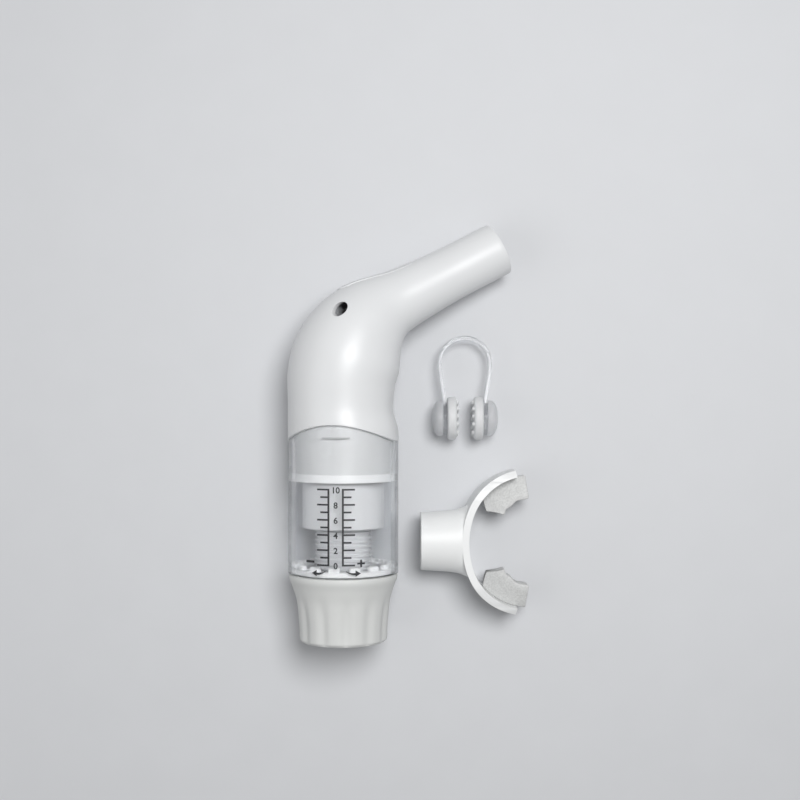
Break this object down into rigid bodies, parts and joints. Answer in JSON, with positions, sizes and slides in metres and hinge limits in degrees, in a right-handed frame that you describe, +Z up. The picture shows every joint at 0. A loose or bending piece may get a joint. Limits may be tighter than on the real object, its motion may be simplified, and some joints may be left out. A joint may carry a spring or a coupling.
{
  "type": "breathing trainer",
  "caption": "Hand-held breathing muscle trainer laid flat: clear scaled barrel, turning load knob, bent neck with valves, loose mouthpiece and nose clip.",
  "frame": {"origin": "on the floor under the middle of the three pieces as they lie, trainer, mouthpiece and nose clip", "axes": "+Y up the trainer's barrel from its knob to its neck, +Z up from the floor that it lies on, +X to the side that the neck bends towards"},
  "size_m": [0.1058, 0.1838, 0.0485],
  "materials": {
    "white_housing": "satin moulded white plastic",
    "white_knob": "fine matt white plastic with shallow finger scallops",
    "white_frame": "smooth white plastic",
    "white_inner": "smooth white plastic",
    "clear_plastic": "clear moulded plastic",
    "silicone": "translucent pale silicone",
    "steel": "drawn stainless wire",
    "mouth_white": "bright white plastic",
    "bite_soft": "soft textured grey-white elastomer",
    "clip_clear": "clear springy plastic",
    "clip_frosted": "frosted clear plastic",
    "clip_pad": "frosted soft pad with small studs"
  },
  "bodies": {
    "root": {"clear_sleeve": "clear_plastic", "inner_frame": "white_frame", "valve_insert": "white_frame", "neck_oring": "silicone", "load_spring": "steel"},
    "knob": {"knob": "white_knob", "knob_cap": "white_knob", "drive_socket": "white_inner", "socket_screw": "steel"},
    "valve": {"poppet": "white_inner", "poppet_seal": "silicone"},
    "screw": {"lead_screw": "white_inner", "stem_retainer": "white_inner"},
    "carriage": {"carriage": "white_inner"},
    "neck": {"neck_housing": "white_housing", "exhale_floor": "white_housing", "flap_clamp": "white_housing"},
    "exhale_flap": {"exhale_flap": "silicone"},
    "exhale_cover": {"exhale_cover": "white_housing"},
    "mouthpiece": {"mouthpiece_body": "mouth_white", "bite_block_upper": "bite_soft", "bite_block_lower": "bite_soft"},
    "nose_clip": {"clip_bow": "clip_clear", "clip_grip_left": "clip_frosted", "clip_pad_left": "clip_pad"},
    "nose_clip_arm": {"clip_grip_right": "clip_frosted", "clip_pad_right": "clip_pad"}
  },
  "joints": [
    {"name": "knob_turn", "type": "hinge", "parent": "root", "child": "knob", "pos_m": [-0.02862, -0.09187, 0.0242], "axis": [0, 1, 0], "range_deg": [-2486, 3255]},
    {"name": "valve_lift", "type": "slide", "parent": "root", "child": "valve", "axis": [0, 1, 0], "range_m": [0, 0.004], "stiffness_N_per_m": 180, "springref_m": -0.015},
    {"name": "screw_turn", "type": "hinge", "parent": "valve", "child": "screw", "pos_m": [-0.02862, -0.09187, 0.0242], "axis": [0, 1, 0], "range_deg": [-2496, 3265]},
    {"name": "carriage_travel", "type": "slide", "parent": "valve", "child": "carriage", "axis": [0, 1, 0], "range_m": [-0.01391, 0.01819], "deforming": ["load_spring"]},
    {"name": "neck_pull", "type": "slide", "parent": "root", "child": "neck", "axis": [0, 1, 0], "range_m": [0, 0.03]},
    {"name": "flap_open", "type": "hinge", "parent": "neck", "child": "exhale_flap", "pos_m": [-0.00732, 0.06385, 0.02039], "axis": [-0.1763, 0, -0.9843], "range_deg": [0, 12], "stiffness_Nm_per_rad": 0.002},
    {"name": "cover_lift", "type": "slide", "parent": "neck", "child": "exhale_cover", "axis": [-0.3613, 0.9302, 0.0647], "range_m": [0, 0.012]},
    {"name": "mouthpiece_lift", "type": "slide", "parent": "root", "child": "mouthpiece", "axis": [0, 0, 1], "range_m": [0, 0.08]},
    {"name": "nose_clip_lift", "type": "slide", "parent": "root", "child": "nose_clip", "axis": [0, 0, 1], "range_m": [0, 0.08]},
    {"name": "clip_open", "type": "hinge", "parent": "nose_clip", "child": "nose_clip_arm", "pos_m": [0.02559, 0.04118, 0.00463], "axis": [0, 0.1405, 0.9901], "range_deg": [0, 20], "stiffness_Nm_per_rad": 0.2, "deforming": ["clip_bow"]}
  ],
  "couplings": [
    {"joint": "screw_turn", "follows": "knob_turn", "ratio": 1},
    {"joint": "carriage_travel", "follows": "knob_turn", "m_per_rad": 0.00031831}
  ]
}
